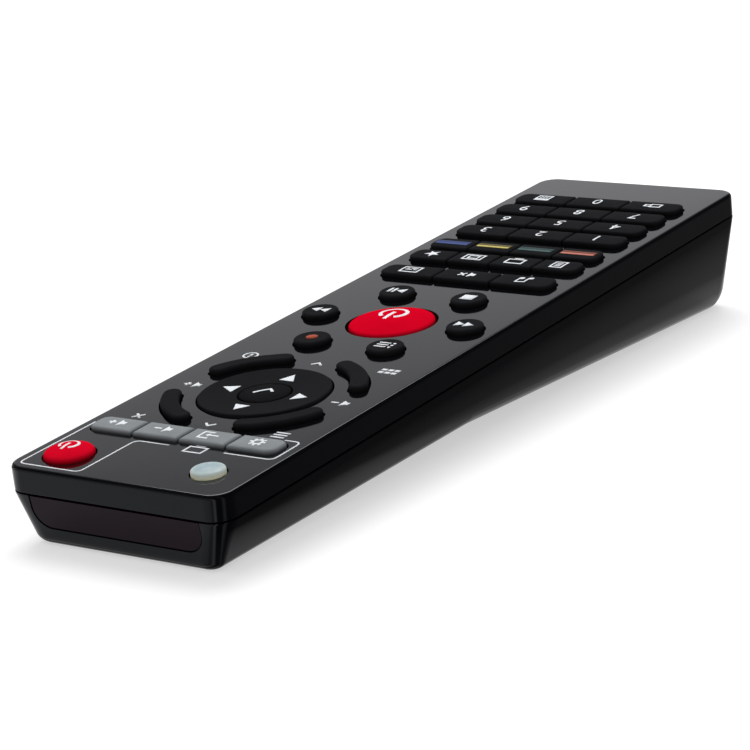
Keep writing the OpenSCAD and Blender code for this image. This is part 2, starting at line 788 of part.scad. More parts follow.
module row_key(row, i) {
    count = len(row[1]);
    w = key_w(row);
    d = row_d - 2 * key_gap;
    grow = key_gap + flange_w;
    left_r = i == 0 ? row_r - key_gap : inner_r;
    right_r = i == count - 1 ? row_r - key_gap : inner_r;
    left_grow = i == 0 ? grow : 0;
    right_grow = i == count - 1 ? grow : 0;
    x = -row[3] / 2 + key_gap + w / 2 + i * (w + key_split);
    color(row[2]) stand() translate([x, at(row[0]), 0]) {
        hull() for (side = [-1, 1]) {
            key_corner(left_r - w / 2, side * (d / 2 - left_r), left_r, $fn = 16);
            key_corner(w / 2 - right_r, side * (d / 2 - right_r), right_r, $fn = 16);
        }
        between(foot_z, flange_z) translate([(right_grow - left_grow) / 2, 0])
            flange_outline(w + left_grow + right_grow, d + 2 * grow, left_r + left_grow, right_r + right_grow);
        pill();
    }
}

// The section of a round or curved key, half its width each side of the axis
module soft_section(half, rise) {
    translate([-half, foot_z]) square([2 * half, rise - key_edge - foot_z]);
    translate([key_edge - half, foot_z]) square([2 * (half - key_edge), rise - foot_z]);
    for (side = [-1, 1]) translate([side * (half - key_edge), rise - key_edge]) circle(key_edge);
}

module flange_section(half) translate([-half - key_gap - flange_w, foot_z])
    square([2 * (half + key_gap + flange_w), flange_t]);

module right_half() intersection() {
    children();
    translate([0, -far]) square([far, 2 * far]);
}

// A round key with a flat top, or with a dome from its rim up to its middle
module round_key(half, rise) {
    rotate_extrude() right_half() {
        soft_section(half, rise);
        flange_section(half);
    }
    pill();
}

module dome_key(hole_d, gap, rise, rim) {
    half = hole_d / 2 - gap;
    dome_r = (half * half + pow(rise - rim, 2)) / (2 * (rise - rim));
    rotate_extrude() {
        translate([0, foot_z]) square([half, rim - foot_z]);
        intersection() {
            translate([0, rise - dome_r]) circle(dome_r);
            square([half, rise]);
        }
        right_half() flange_section(hole_d / 2 - key_gap);
    }
    pill();
}

module orbit_key(i) color(rubber) stand() at_orbit(i) round_key(orbit_d / 2 - key_gap, key_rise);

module power_key() color("#c8141c") stand() translate([0, at(power_at)])
    dome_key(power_d, power_gap, power_rise, power_rim);

module tv_power_key() color("#c8141c") stand() translate([tv_power_x, at(tv_power_at)])
    dome_key(tv_power_d, key_gap, tv_power_rise, tv_power_rim);

// A curved key: the section swept round the ring's centre, with turned ends
module arc_key(i) color(rubber) stand() at_arc(i) {
    half = arc_d / 2 - key_gap;
    rotate(-arc_half) rotate_extrude(angle = 2 * arc_half) translate([arc_r, 0]) {
        soft_section(half, key_rise);
        flange_section(half);
    }
    for (turn = [-arc_half, arc_half]) rotate(turn) translate([arc_r, 0]) rotate_extrude() right_half() {
        soft_section(half, key_rise);
        flange_section(half);
    }
    translate([arc_r, 0]) pill();
}

// The navigation ring, and the web under the cover that it rocks in
module nav_ring() color(rubber) stand() translate([0, at(ring_at)]) rotate_extrude() {
    inner = ok_d / 2;
    outer = ring_d / 2 - key_gap;
    low = pivot_z;
    translate([inner, low]) square([outer - inner, ring_rise - key_edge - low]);
    translate([inner, low]) square([outer - inner - key_edge, ring_rise - low]);
    translate([outer - key_edge, ring_rise - key_edge]) circle(key_edge);
}

module nav_ring_web() color("#1f2022") stand() translate([0, at(ring_at)])
    between(web_z - web_t, web_z) difference() {
        circle(ring_d / 2 + web_w);
        circle(ring_d / 2);
    }

module ok_key() color(rubber) stand() translate([0, at(ring_at)]) {
    rotate_extrude() right_half() soft_section(ok_d / 2 - key_gap, ok_rise);
    pill();
}

top_cover();
bottom_case();
battery_door();
ir_window();
indicator_lens();
keypad_sheet();
circuit_board();
ir_led();
indicator_led();
controller_chip();
resonator();
capacitor();
battery_right();
battery_left();
negative_contact();
positive_contact();
bridge_contact();
case_screws();
tv_power_key();
power_key();
nav_ring();
nav_ring_web();
ok_key();
for (i = [0:3]) arc_key(i);
for (i = [0:5]) orbit_key(i);
for (row = rows, i = [0:len(row[1]) - 1]) row_key(row, i);
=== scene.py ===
import json
import math

import bmesh
import bpy
import numpy as np
from mathutils import Matrix, Vector


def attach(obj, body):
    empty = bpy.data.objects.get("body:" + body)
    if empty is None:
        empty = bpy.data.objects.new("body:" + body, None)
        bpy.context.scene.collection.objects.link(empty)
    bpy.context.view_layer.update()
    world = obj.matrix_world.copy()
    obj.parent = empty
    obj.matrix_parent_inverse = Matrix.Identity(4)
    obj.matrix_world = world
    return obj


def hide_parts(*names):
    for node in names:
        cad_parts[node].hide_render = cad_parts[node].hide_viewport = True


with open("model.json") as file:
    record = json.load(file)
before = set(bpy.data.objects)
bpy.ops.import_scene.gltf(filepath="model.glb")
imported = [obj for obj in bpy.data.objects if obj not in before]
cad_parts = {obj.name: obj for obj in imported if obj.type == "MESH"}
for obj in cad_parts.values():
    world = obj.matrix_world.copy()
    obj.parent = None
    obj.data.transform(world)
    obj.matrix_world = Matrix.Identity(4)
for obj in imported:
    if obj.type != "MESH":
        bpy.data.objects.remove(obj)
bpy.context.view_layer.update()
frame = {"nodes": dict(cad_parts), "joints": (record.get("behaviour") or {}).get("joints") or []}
nodes = frame["nodes"]


# The case and its battery door: glossy black shells moulded in ABS, the case a wedge with drafted
# walls. The door slides in two grooves of the case, and both come from the same polished tool.
press = np.array(next(j["axis"] for j in frame["joints"] if j["name"] == "power_press"), float)
face_up = -press / np.linalg.norm(press)


def points_of(mesh):
    """The corner points of a mesh, as an array of rows."""
    flat = np.empty(len(mesh.vertices) * 3)
    mesh.vertices.foreach_get("co", flat)
    return flat.reshape(-1, 3)


cover_points = points_of(nodes["top_cover"].data)
face_height = float((cover_points @ face_up).max())
seam_depth = 0.0072


def new_finish(name, colour, roughness, ior):
    """A node material with one shader, whose even values sit on the shader's own sockets."""
    finish = bpy.data.materials.new(name)
    finish.use_nodes = True
    shader = finish.node_tree.nodes["Principled BSDF"]
    shader.inputs["Base Color"].default_value = (*colour, 1)
    shader.inputs["Roughness"].default_value = roughness
    shader.inputs["IOR"].default_value = ior
    return finish, shader


def feed(finish, socket, value):
    """Links another socket to a socket of a finish, or sets it to a plain value."""
    if isinstance(value, bpy.types.NodeSocket):
        finish.node_tree.links.new(value, socket)
    else:
        socket.default_value = value


def wire(finish, kind, settings=None, **inputs):
    """One node of a finish: settings are its own fields, inputs its sockets by name."""
    made = finish.node_tree.nodes.new("ShaderNode" + kind)
    for field, value in (settings or {}).items():
        setattr(made, field, value)
    for socket, value in inputs.items():
        feed(finish, made.inputs[socket.replace("_", " ")], value)
    return made


def reckon(finish, operation, *values):
    """One sum of a finish, on numbers or other sockets in the order in which the sum takes them."""
    made = wire(finish, "Math", {"operation": operation})
    for socket, value in zip(made.inputs, values):
        feed(finish, socket, value)
    return made.outputs["Value"]


def ranged(finish, value, taken, given=(0, 1)):
    """A value carried in proportion from the range taken to the range given, and held at its ends."""
    made = wire(finish, "MapRange", Value=value, From_Min=taken[0], From_Max=taken[1],
                To_Min=given[0], To_Max=given[1])
    return made.outputs["Result"]


def ramp(finish, factor, stops):
    """A colour that follows a factor through the given stops, each a place and a colour."""
    made = wire(finish, "ValToRGB", Fac=factor)
    while len(made.color_ramp.elements) < len(stops):
        made.color_ramp.elements.new(0.5)
    for element, (place, colour) in zip(made.color_ramp.elements, stops):
        element.position = place
        element.color = (*colour, 1)
    return made.outputs["Color"]


def height_out(finish, place):
    """How far a place lies out along the key face's normal, in metres: its product with that normal."""
    made = wire(finish, "VectorMath", {"operation": "DOT_PRODUCT"}, Vector=place)
    made.inputs[1].default_value = face_up
    return made.outputs["Value"]


def swell(finish, shader, noise, strength, depth):
    """Lets a noise raise and lower the surface, with a depth in metres."""
    bump = wire(finish, "Bump", Height=noise.outputs["Fac"], Strength=strength, Distance=depth)
    feed(finish, shader.inputs["Normal"], bump.outputs["Normal"])


def gloss_plastic(name, colour, side_mirror, end_mirror, top_mirror, seam_share=1):
    """Polished plastic: orange peel in the surface, smudges in the gloss, a few specks of dust. Its
    mirror is
    painted by facing and height: its sides mirror by side_mirror, which the shells set low as a painted
    shade, and just under the seam by seam_share of that, a painted shade darker still. Its two ends go to
    end_mirror in painted reflections, streaks round its upright corners, the foot of its sides to
    end_mirror in a painted gleam, and its top to top_mirror."""
    finish, shader = new_finish(name, colour, 0.05, 1.5)
    shader.inputs["Specular Tint"].default_value = (0.86, 0.93, 1, 1)
    spot = wire(finish, "TexCoord")
    place = spot.outputs["Object"]
    over_floor = wire(finish, "SeparateXYZ", Vector=place).outputs["Z"]
    facing = wire(finish, "SeparateXYZ", Vector=spot.outputs["Normal"])
    endwise = reckon(finish, "ABSOLUTE", facing.outputs["Y"])
    # Painted reflections: the mirror rises in streaks as the normal turns towards the ends.
    streaks = [(0.5, 0), (0.59, 0.7), (0.67, 0), (0.8, 0), (0.85, 2), (0.89, 0.4), (0.95, 1)]
    painted_streak_share = ramp(finish, endwise, [(turn, [share] * 3) for turn, share in streaks])
    # Painted gleam: the foot of the sides, within 9 mm of the floor, mirrors up to end_mirror.
    low = ranged(finish, over_floor, (0.009, 0.001))
    flank = ranged(finish, endwise, (0.45, 0.2))
    end_or_low = reckon(finish, "MAXIMUM", painted_streak_share, reckon(finish, "MULTIPLY", low, flank))
    # Painted shade: the sides mirror less just under the seam, down to seam_share at the seam.
    below = reckon(finish, "SUBTRACT", face_height - seam_depth, height_out(finish, place))
    under_seam = reckon(finish, "MAXIMUM", below, 0)
    wall_height = reckon(finish, "ADD", under_seam, over_floor)
    fall = reckon(finish, "DIVIDE", under_seam, wall_height)
    side = ranged(finish, fall, (0, 0.6), (side_mirror * seam_share, side_mirror))
    walls = wire(finish, "MapRange", {"clamp": False}, Value=end_or_low, To_Min=side, To_Max=end_mirror)
    top = ranged(finish, facing.outputs["Z"], (0.9, 0.99), (0, top_mirror))
    mirror = reckon(finish, "MAXIMUM", walls.outputs["Result"], top)
    feed(finish, shader.inputs["Specular IOR Level"], mirror)
    dust = wire(finish, "TexVoronoi", Vector=place, Scale=260)
    near = reckon(finish, "LESS_THAN", dust.outputs["Distance"], 0.035)
    lot = wire(finish, "SeparateColor", Color=dust.outputs["Color"]).outputs["Red"]
    speck = reckon(finish, "MULTIPLY", near, reckon(finish, "GREATER_THAN", lot, 0.93))
    dust_grey = (0.14, 0.14, 0.135)
    feed(finish, shader.inputs["Base Color"], ramp(finish, speck, [(0, colour), (1, dust_grey)]))
    smudge = wire(finish, "TexNoise", Vector=place, Scale=55, Detail=5, Roughness=0.6)
    gloss = ranged(finish, smudge.outputs["Fac"], (0.3, 0.75), (0.035, 0.1))
    feed(finish, shader.inputs["Roughness"], gloss)
    peel = wire(finish, "TexNoise", Vector=place, Scale=700, Detail=2)
    swell(finish, shader, peel, 0.05, 0.00002)
    return finish


def placed(name, mesh, finish, body, sharp):
    """A piece made of a mesh, smooth but for edges sharper than an angle in degrees: it takes a finish
    and rides on a body."""
    mesh.shade_smooth()
    mesh.set_sharp_from_angle(angle=math.radians(sharp))
    mesh.materials.clear()
    mesh.materials.append(finish)
    piece = bpy.data.objects.new(name, mesh)
    bpy.context.scene.collection.objects.link(piece)
    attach(piece, body)
    return piece


def shell(node, body, finish, edge=0, sharp=24):
    """A copy of a moulded shell with its corners merged and its flat faces kept flat, and with its sharp
    edges eased by a bevel of the given width."""
    mesh = nodes[node].data.copy()
    mesh.name = node + "_moulding"
    work = bmesh.new()
    work.from_mesh(mesh)
    bmesh.ops.remove_doubles(work, verts=work.verts, dist=2e-6)
    bmesh.ops.dissolve_degenerate(work, edges=work.edges, dist=1e-6)
    work.to_mesh(mesh)
    work.free()
    if "custom_normal" in mesh.attributes:
        mesh.attributes.remove(mesh.attributes["custom_normal"])
    piece = placed(node + "_moulding", mesh, finish, body, sharp)
    if edge:
        ease = piece.modifiers.new("eased_edges", "BEVEL")
        ease.width = edge
        ease.segments = 2
        ease.limit_method = "ANGLE"
        ease.angle_limit = math.radians(50)
        ease.use_clamp_overlap = False
        ease.harden_normals = True
    weigh = piece.modifiers.new("flat_faces", "WEIGHTED_NORMAL")
    weigh.keep_sharp = True
    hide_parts(node)
    return piece


shell_black = (0.0022, 0.0023, 0.0029)
# Its sides mirror weakly, least just under the seam, a painted shade; the streaks at its ends and the
# gleam at its foot are painted reflections.
case_plastic = gloss_plastic("case_black_plastic", shell_black, side_mirror=0.03, end_mirror=0.17,
                             top_mirror=0.17, seam_share=0.15)
shell("bottom_case", "housing", case_plastic)
shell("battery_door", "battery_door", case_plastic)


# The cover: the same glossy black plastic, a shallow tray with the openings of the keys. It is
# screwed to the case from below, and the seam between them is a fine shadow groove.
cover_edge = 0.00012
# Its sides mirror very weakly, a painted shade, and its ends carry painted streaks of reflection.
cover_plastic = gloss_plastic("cover_black_plastic", shell_black, side_mirror=0.009, end_mirror=0.15,
                              top_mirror=0.5)
shell("top_cover", "housing", cover_plastic, cover_edge)


# The infrared window: dark red filter plastic let into the front wall, held by the cover above it
# and by a ledge behind. It looks almost black, and a fine gap shows round it.
def middle_of(values):
    """Halfway between the lowest and the highest of some numbers, or of each column of some rows."""
    return (values.max(0) + values.min(0)) / 2


window_gap = 0.00014
window_plastic = gloss_plastic("window_red_plastic", (0.0088, 0.0002, 0.0036), side_mirror=0.1,
                               end_mirror=0.1, top_mirror=0.1)
window = shell("ir_window", "housing", window_plastic)
window_points = points_of(window.data)
window_middle = middle_of(window_points)
drawn_in = np.array([window_gap, 0, window_gap]) / (np.ptp(window_points, axis=0) / 2)
window_points = window_middle + (window_points - window_middle) * (1 - drawn_in)
window.data.vertices.foreach_set("co", window_points.ravel())


# The indicator lens: a turned button of clouded acrylic, pushed up from inside against its collar.
# It carries the light of the small lamp. Its colour is painted yellower and lighter towards its lower
# edge, the extra lightness a painted light that makes up for the shade there.
face_along = np.array([0, face_up[2], -face_up[1]])
face_origin = middle_of(cover_points @ face_along) * face_along + face_height * face_up


def on_face(x, y, z):
    """Places on the key face, given in millimetres as across, along to the infrared end, and out, as
    rows in metres."""
    x, y, z = np.broadcast_arrays(x, y, z)
    across = np.array([1.0, 0, 0])
    away = x[..., None] * across + y[..., None] * face_along + z[..., None] * face_up
    return face_origin + 0.001 * away


def from_face(points):
    """The same places back in the face's millimetres, as three arrays."""
    away = (points - face_origin) * 1000
    return away[:, 0], away @ face_along, away @ face_up


def standing(node, over):
    """How a CAD node stands out of the key face, in millimetres: the middle, the width and the depth of
    what stands out by more than over, and the height of its top."""
    x, y, z = from_face(points_of(nodes[node].data))
    shown = z > over
    return middle_of(x[shown]), middle_of(y[shown]), np.ptp(x[shown]), np.ptp(y[shown]), z.max()


def piece_of(name, points, faces, finish, body, sharp=40):
    """A piece from an array of points and its faces."""
    mesh = bpy.data.meshes.new(name)
    mesh.from_pydata(points.reshape(-1, 3).tolist(), [], [list(map(int, face)) for face in faces])
    return placed(name, mesh, finish, body, sharp)


def ring_faces(rings, sides, hollow=False):
    """Four-cornered faces between successive closed rings of points. The first and the last ring get a
    cap, or are joined to each other in a hollow piece."""
    i, j = np.meshgrid(np.arange(rings if hollow else rings - 1), np.arange(sides), indexing="ij")
    following = (j + 1) % sides
    here = i * sides
    above = (i + 1) % rings * sides
    walls = np.stack([here + j, here + following, above + following, above + j], -1)
    walls = walls.reshape(-1, 4).tolist()
    if hollow:
        return walls
    first = list(range(sides))[::-1]
    last = list(range((rings - 1) * sides, rings * sides))
    return [first] + walls + [last]


def turned(profile, sides):
    """A profile of radius and height carried once round its axis: arrays of x, y and z, with one ring to
    each of its points."""
    radius, height = np.asarray(profile, float).T
    around = np.linspace(0, 2 * np.pi, sides, endpoint=False)
    x = radius[:, None] * np.cos(around)
    y = radius[:, None] * np.sin(around)
    return x, y, np.broadcast_to(height[:, None], x.shape)


def arc(r, start, end, count=28, centre=(0, 0)):
    """Points of an arc about a centre, from one angle to another in degrees."""
    turn = np.radians(np.linspace(start, end, count))
    return np.stack([centre[0] + r * np.cos(turn), centre[1] + r * np.sin(turn)], 1)


flange_top = -2.2
flange_foot = -2.8
dome_clear = 0.05
dome_sides = 96


def dome(node, body, finish, rim, soft, flange, sink=0, gap=0):
    """A dome turned about the face's normal: a flange under the cover, a side, a small round rim of
    radius soft, and an arc of a ball, which would meet the side at the height rim, up to the middle. The
    middle lies sink lower than the CAD solid's, and the side stands in from it by gap. Gives its middle,
    and the ball's radius and height."""
    cx, cy, width, _, top = standing(node, dome_clear)
    half = width / 2 - gap
    rise = top - sink
    ball_r = (half ** 2 + (rise - rim) ** 2) / (2 * (rise - rim))
    ball_z = rise - ball_r
    soft_z = ball_z + math.sqrt((ball_r - soft) ** 2 - (half - soft) ** 2)
    meet = math.degrees(math.atan2(soft_z - ball_z, half - soft))
    side_top = min(0, soft_z - 0.2)
    profile = np.vstack([
        [[half + flange, flange_foot], [half + flange, flange_top], [half, flange_top], [half, side_top]],
        arc(soft, 0, meet, 8, (half - soft, soft_z)), arc(ball_r, meet, 89.2, 24, (0, ball_z))[1:]])
    px, py, pz = turned(profile, dome_sides)
    skin = piece_of(node + "_dome", on_face(px + cx, py + cy, pz), ring_faces(len(profile), dome_sides),
                    finish, body)
    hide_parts(node)
    return cx, cy, ball_r, ball_z


lens_plastic, lens_shader = new_finish("clouded_lens_acrylic", (0.4, 0.48, 0.5), 0.3, 1.49)
lens_shader.inputs["Specular IOR Level"].default_value = 0.2
lens_shader.inputs["Subsurface Weight"].default_value = 0.6
lens_shader.inputs["Subsurface Radius"].default_value = (1, 1, 0.8)
lens_shader.inputs["Subsurface Scale"].default_value = 0.0015
lens_shown = 0.0016
lens_place = wire(lens_plastic, "TexCoord").outputs["Object"]
lens_rise = ranged(lens_plastic, height_out(lens_plastic, lens_place),
                   (face_height, face_height + lens_shown))
lens_cloud = wire(lens_plastic, "TexNoise", Vector=lens_place, Scale=900, Detail=3)
lens_level = reckon(lens_plastic, "MULTIPLY_ADD", lens_cloud.outputs["Fac"], 0.2, lens_rise)
# Painted light: the ramp makes the lower edge much lighter as well as yellower.
lens_painted_light_tone = ramp(lens_plastic, lens_level, [
    (0.1, (0.95, 0.92, 0.7)), (0.55, (0.6, 0.66, 0.62)), (0.95, (0.35, 0.46, 0.485))])
feed(lens_plastic, lens_shader.inputs["Base Color"], lens_painted_light_tone)
dome("indicator_lens", "housing", lens_plastic, rim=0.9, soft=0.6, flange=0.8,
     sink=-0.45, gap=0.2)


# The inside of the case: a glass-fibre board with its soldered parts, between the cover and the cells.
# None of it shows from outside, so each keeps its CAD form with a finish of its own.
def wandering(finish, noise, colour, spread, low, high):
    """A colour that goes from a share darker to a share lighter as a noise goes from low to high."""
    darker = [c * (1 - spread) for c in colour]
    lighter = [min(1, c * (1 + spread)) for c in colour]
    return ramp(finish, noise.outputs["Fac"], [(low, darker), (high, lighter)])


def plain_part(name, colour, roughness, scale, spread):
    """A matt or satin finish whose colour wanders a little with a noise of the given scale."""
    finish, shader = new_finish(name, colour, roughness, 1.5)
    place = wire(finish, "TexCoord").outputs["Object"]
    grain = wire(finish, "TexNoise", Vector=place, Scale=scale, Detail=4)
    feed(finish, shader.inputs["Base Color"], wandering(finish, grain, colour, spread, 0.35, 0.65))
    swell(finish, shader, grain, 0.25, 0.00003)
    return finish, shader


def dress(finish, *names):
    """Gives CAD nodes that keep their own form their finish."""
    for name in names:
        nodes[name].data.materials.clear()
        nodes[name].data.materials.append(finish)


inside_finishes = {
    "circuit_board": ("board_green_mask", (0.02, 0.12, 0.04), 0.35, 1800, 0.25),
    "ir_led": ("emitter_epoxy", (0.05, 0.04, 0.08), 0.08, 600, 0.15),
    "indicator_led": ("lamp_resin", (0.8, 0.78, 0.62), 0.3, 900, 0.1),
    "controller_chip": ("chip_resin", (0.012, 0.012, 0.013), 0.6, 3000, 0.3),
    "resonator": ("ceramic_amber", (0.5, 0.3, 0.07), 0.4, 700, 0.15),
    "capacitor": ("sleeve_blue", (0.015, 0.03, 0.14), 0.25, 500, 0.1),
}
for node, looks in inside_finishes.items():
    dress(plain_part(*looks)[0], node)


# The battery contacts and the case screws: nickel-plated spring steel, stamped and wound, and two
# plated self-tapping screws. The plates slip into the ends of the bay.
def plated_steel(name, colour):
    """Plated steel: bright, with drawn lines along the strip and a little tarnish in the colour."""
    finish, shader = new_finish(name, colour, 0.3, 1.5)
    shader.inputs["Metallic"].default_value = 1
    place = wire(finish, "TexCoord").outputs["Object"]
    drawn = wire(finish, "Mapping", Vector=place, Scale=(3000, 120, 3000))
    lines = wire(finish, "TexNoise", Vector=drawn.outputs["Vector"], Scale=1, Detail=3)
    feed(finish, shader.inputs["Roughness"], ranged(finish, lines.outputs["Fac"], (0, 1), (0.18, 0.42)))
    tarnish = wire(finish, "TexNoise", Vector=place, Scale=250, Detail=4)
    tone = ramp(finish, tarnish.outputs["Fac"], [(0.3, [c * 0.8 for c in colour]), (0.7, colour)])
    feed(finish, shader.inputs["Base Color"], tone)
    return finish


contact_plating = plated_steel("contact_nickel_plate", (0.66, 0.65, 0.61))
for contact in ["negative_contact", "positive_contact", "bridge_contact", "case_screws"]:
    shell(contact, "housing", contact_plating, sharp=52)


# The cells: two AAA cells, a steel can in a printed sleeve with a nickel cap. They lie in the bay
# with opposite ends forward.
nickel = (0.62, 0.61, 0.58)
sleeve_black = (0.012, 0.012, 0.014)
sleeve_gold = (0.5, 0.36, 0.14)
sleeve_blue = (0.02, 0.05, 0.1)
metal = (1, 1, 1)
sleeve = (0, 0, 0)
cell_finish, cell_shader = new_finish("cell_sleeve_and_caps", sleeve_blue, 0.25, 1.5)
cell_spot = wire(cell_finish, "TexCoord")
cell_along = wire(cell_finish, "SeparateXYZ", Vector=cell_spot.outputs["UV"]).outputs["X"]
cell_tone = ramp(cell_finish, cell_along, [
    (0, nickel), (0.02, nickel), (0.021, sleeve_black), (0.3, sleeve_black), (0.301, sleeve_gold),
    (0.33, sleeve_gold), (0.331, sleeve_blue), (0.955, sleeve_blue), (0.956, nickel)])
feed(cell_finish, cell_shader.inputs["Base Color"], cell_tone)
cell_metal = ramp(cell_finish, cell_along, [
    (0, metal), (0.02, metal), (0.021, sleeve), (0.955, sleeve), (0.956, metal)])
feed(cell_finish, cell_shader.inputs["Metallic"], cell_metal)
cell_wear = wire(cell_finish, "TexNoise", Vector=cell_spot.outputs["Object"], Scale=300, Detail=4)
cell_gloss = ranged(cell_finish, cell_wear.outputs["Fac"], (0, 1), (0.15, 0.4))
feed(cell_finish, cell_shader.inputs["Roughness"], cell_gloss)
cell_sides = 72
cap_h = 1


def cell(node):
    """A cell turned about its own axis: foot, rolled edge, bead, sleeve, rolled edge, groove, cap. It
    fills its CAD solid, and its UV map runs along it and round it."""
    points = points_of(nodes[node].data)
    away = points - points.mean(0)
    axis = np.linalg.eigh(np.cov(away.T))[1][:, 2]
    high = points @ axis
    slim = np.linalg.norm(away - np.outer(high - high.mean(), axis), axis=1)
    if slim[high > high.max() - 0.0002].max() > slim[high < high.min() + 0.0002].max():
        axis = -axis
    high = points @ axis
    middle = middle_of(points)
    middle = middle - (middle @ axis) * axis
    length = np.ptp(high) * 1000
    radius = slim.max() * 1000
    shoulder = length - cap_h
    profile = np.vstack([
        [[0.4, 0.25], [3.4, 0.25], [3.6, 0]], arc(0.5, -90, 0, 6, (radius - 0.5, 0.5)),
        [[radius, 1.3], [radius - 0.08, 1.5], [radius, 1.7]],
        np.stack([np.full(12, radius), np.linspace(4, shoulder - 2, 12)], 1),
        arc(0.6, 0, 90, 6, (radius - 0.6, shoulder - 0.6)),
        [[3.2, shoulder], [3.0, shoulder - 0.25], [2.1, shoulder - 0.25], [1.9, shoulder]],
        arc(0.3, 0, 90, 5, (1.6, length - 0.3)), [[0.3, length]]])
    x, y, z = turned(profile, cell_sides)
    side = np.cross(axis, [0, 0, 1.0])
    side = side / np.linalg.norm(side)
    over = np.cross(axis, side)
    foot = middle + high.min() * axis
    place = foot + 0.001 * (x[..., None] * side + y[..., None] * over + z[..., None] * axis)
    made = piece_of(node + "_can", place, ring_faces(len(profile), cell_sides), cell_finish, "housing",
                    35)
    along = np.repeat(profile[:, 1] / length, cell_sides)
    corner_of = np.empty(len(made.data.loops), int)
    made.data.loops.foreach_get("vertex_index", corner_of)
    spread = np.stack([along[corner_of], (corner_of % cell_sides) / cell_sides], 1)
    made.data.uv_layers.new(name="around").data.foreach_set("uv", spread.ravel().astype(np.float32))
    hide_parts(node)


cell("battery_right")
cell("battery_left")


# The rubber sheet and the matt black keys: silicone rubber moulded in one sheet, with a fine blasted
# surface. The ring's web, the curved keys and the round keys keep their CAD form.
def silicone(name, colour, roughness, spread, sheen_level, painted_shade_share):
    """Blasted silicone: a very fine grain in the surface and a slightly uneven sheen and colour. Its
    colour falls to painted_shade_share of itself where it comes out of the cover, a painted shade at the
    foot."""
    finish, shader = new_finish(name, colour, roughness, 1.41)
    shader.inputs["Specular IOR Level"].default_value = sheen_level
    place = wire(finish, "TexCoord").outputs["Object"]
    patches = wire(finish, "TexNoise", Vector=place, Scale=210, Detail=4)
    tone = wandering(finish, patches, colour, spread, 0.3, 0.7)
    # Painted shade: the colour darkens towards the foot of a key, over its lowest 0.9 mm out of the face.
    painted_shade_height = 0.0009
    shade = ranged(finish, height_out(finish, place), (face_height, face_height + painted_shade_height),
                   (painted_shade_share, 1))
    shaded = wire(finish, "VectorMath", {"operation": "SCALE"}, Vector=tone, Scale=shade)
    feed(finish, shader.inputs["Base Color"], shaded.outputs["Vector"])
    sheen = ranged(finish, patches.outputs["Fac"], (0.3, 0.7), (roughness - 0.06, roughness + 0.06))
    feed(finish, shader.inputs["Roughness"], sheen)
    grain = wire(finish, "TexNoise", Vector=place, Scale=4200, Detail=2)
    swell(finish, shader, grain, 0.35, 0.00002)
    return finish


# Painted shade: the black silicone falls to 0.4 of its colour at the foot of its keys.
black_rubber = silicone("black_silicone", (0.0125, 0.0128, 0.0139), roughness=0.5, spread=0.12,
                        sheen_level=0.004, painted_shade_share=0.4)
arc_keys = ["exit_key", "menu_key", "guide_key", "info_key"]
orbit_keys = ["forward_key", "record_key", "list_key", "rewind_key", "stop_key", "play_pause_key"]
dress(black_rubber, "keypad_sheet", "nav_ring_web", *arc_keys, *orbit_keys)


# The ring and its middle key: the same black silicone. The ring's top is a shallow dish that falls
# from its rim to the middle key, which stands in it as a low dome.
# The ring's copy of the black silicone has no painted shade at its foot; the middle key keeps the painted
# shade of the black silicone.
ring_rubber = silicone("black_silicone_ring", (0.0122, 0.0126, 0.0137), roughness=0.5, spread=0.12,
                       sheen_level=0.004, painted_shade_share=1)
ring_rim = 0.55
ring_floor = 0.12
ring_edge = 0.35
ring_chamfer = 0.15
ring_sides = 128
ring_across, ring_length, ring_out = from_face(points_of(nodes["nav_ring"].data))
ring_shown = ring_out > dome_clear
ring_x = middle_of(ring_across[ring_shown])
ring_y = middle_of(ring_length[ring_shown])
ring_reach = np.hypot(ring_across - ring_x, ring_length - ring_y)[ring_shown]
ring_outer = ring_reach.max()
ring_inner = ring_reach.min()
ring_foot = ring_out.min()
ring_crest = ring_outer - ring_edge


def dished(r):
    """Height of the ring's top at a radius: it rises from the floor at the hole to the rim by a power
    of 1.3."""
    share = np.clip((r - ring_inner) / (ring_crest - ring_inner), 0, 1)
    return ring_floor + (ring_rim - ring_floor) * share ** 1.3


top_r = np.linspace(ring_crest, ring_inner + ring_chamfer, 20)
ring_profile = np.vstack([
    [[ring_outer, ring_foot]], arc(ring_edge, 0, 90, 7, (ring_crest, ring_rim - ring_edge)),
    np.stack([top_r, dished(top_r)], 1)[1:],
    [[ring_inner, ring_floor - ring_chamfer], [ring_inner, ring_foot]]])
around_x, around_y, ring_heights = turned(ring_profile, ring_sides)
ring_skin = piece_of(
    "nav_ring_dish", on_face(around_x + ring_x, around_y + ring_y, ring_heights),
    ring_faces(len(ring_profile), ring_sides, True), ring_rubber, "nav_ring")
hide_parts("nav_ring")
ok_shape = dome("ok_key", "ok_key", black_rubber, rim=0.15, soft=0.3, flange=0.15,
                sink=0.88)


# The row keys: flat silicone blocks with soft upper edges and a slight crown, rounder at the two
# ends of a row. The television row is moulded in pale grey, lower and rounder, the others in black.
black_edge = 0.45
grey_edge = 0.85
grey_sink = 0.22
key_crown = 0.12
key_clear = 0.2
key_flange = 0.2
key_side_top = -0.6
crown_reach = 0.94
end_r = 2.2
inner_r = 0.3


def crowned(inset, half, rise, edge_r):
    """Height of a key's top at a distance in from its outline: a quarter round, then a slight crown to
    its middle."""
    soft = np.clip(inset / edge_r, 0, 1)
    edge = rise - key_crown - edge_r * (1 - np.sqrt(1 - (1 - soft) ** 2))
    share = np.clip((inset - edge_r) / (half - edge_r), 0, 1)
    return edge + key_crown * (1 - (1 - share) ** 2)


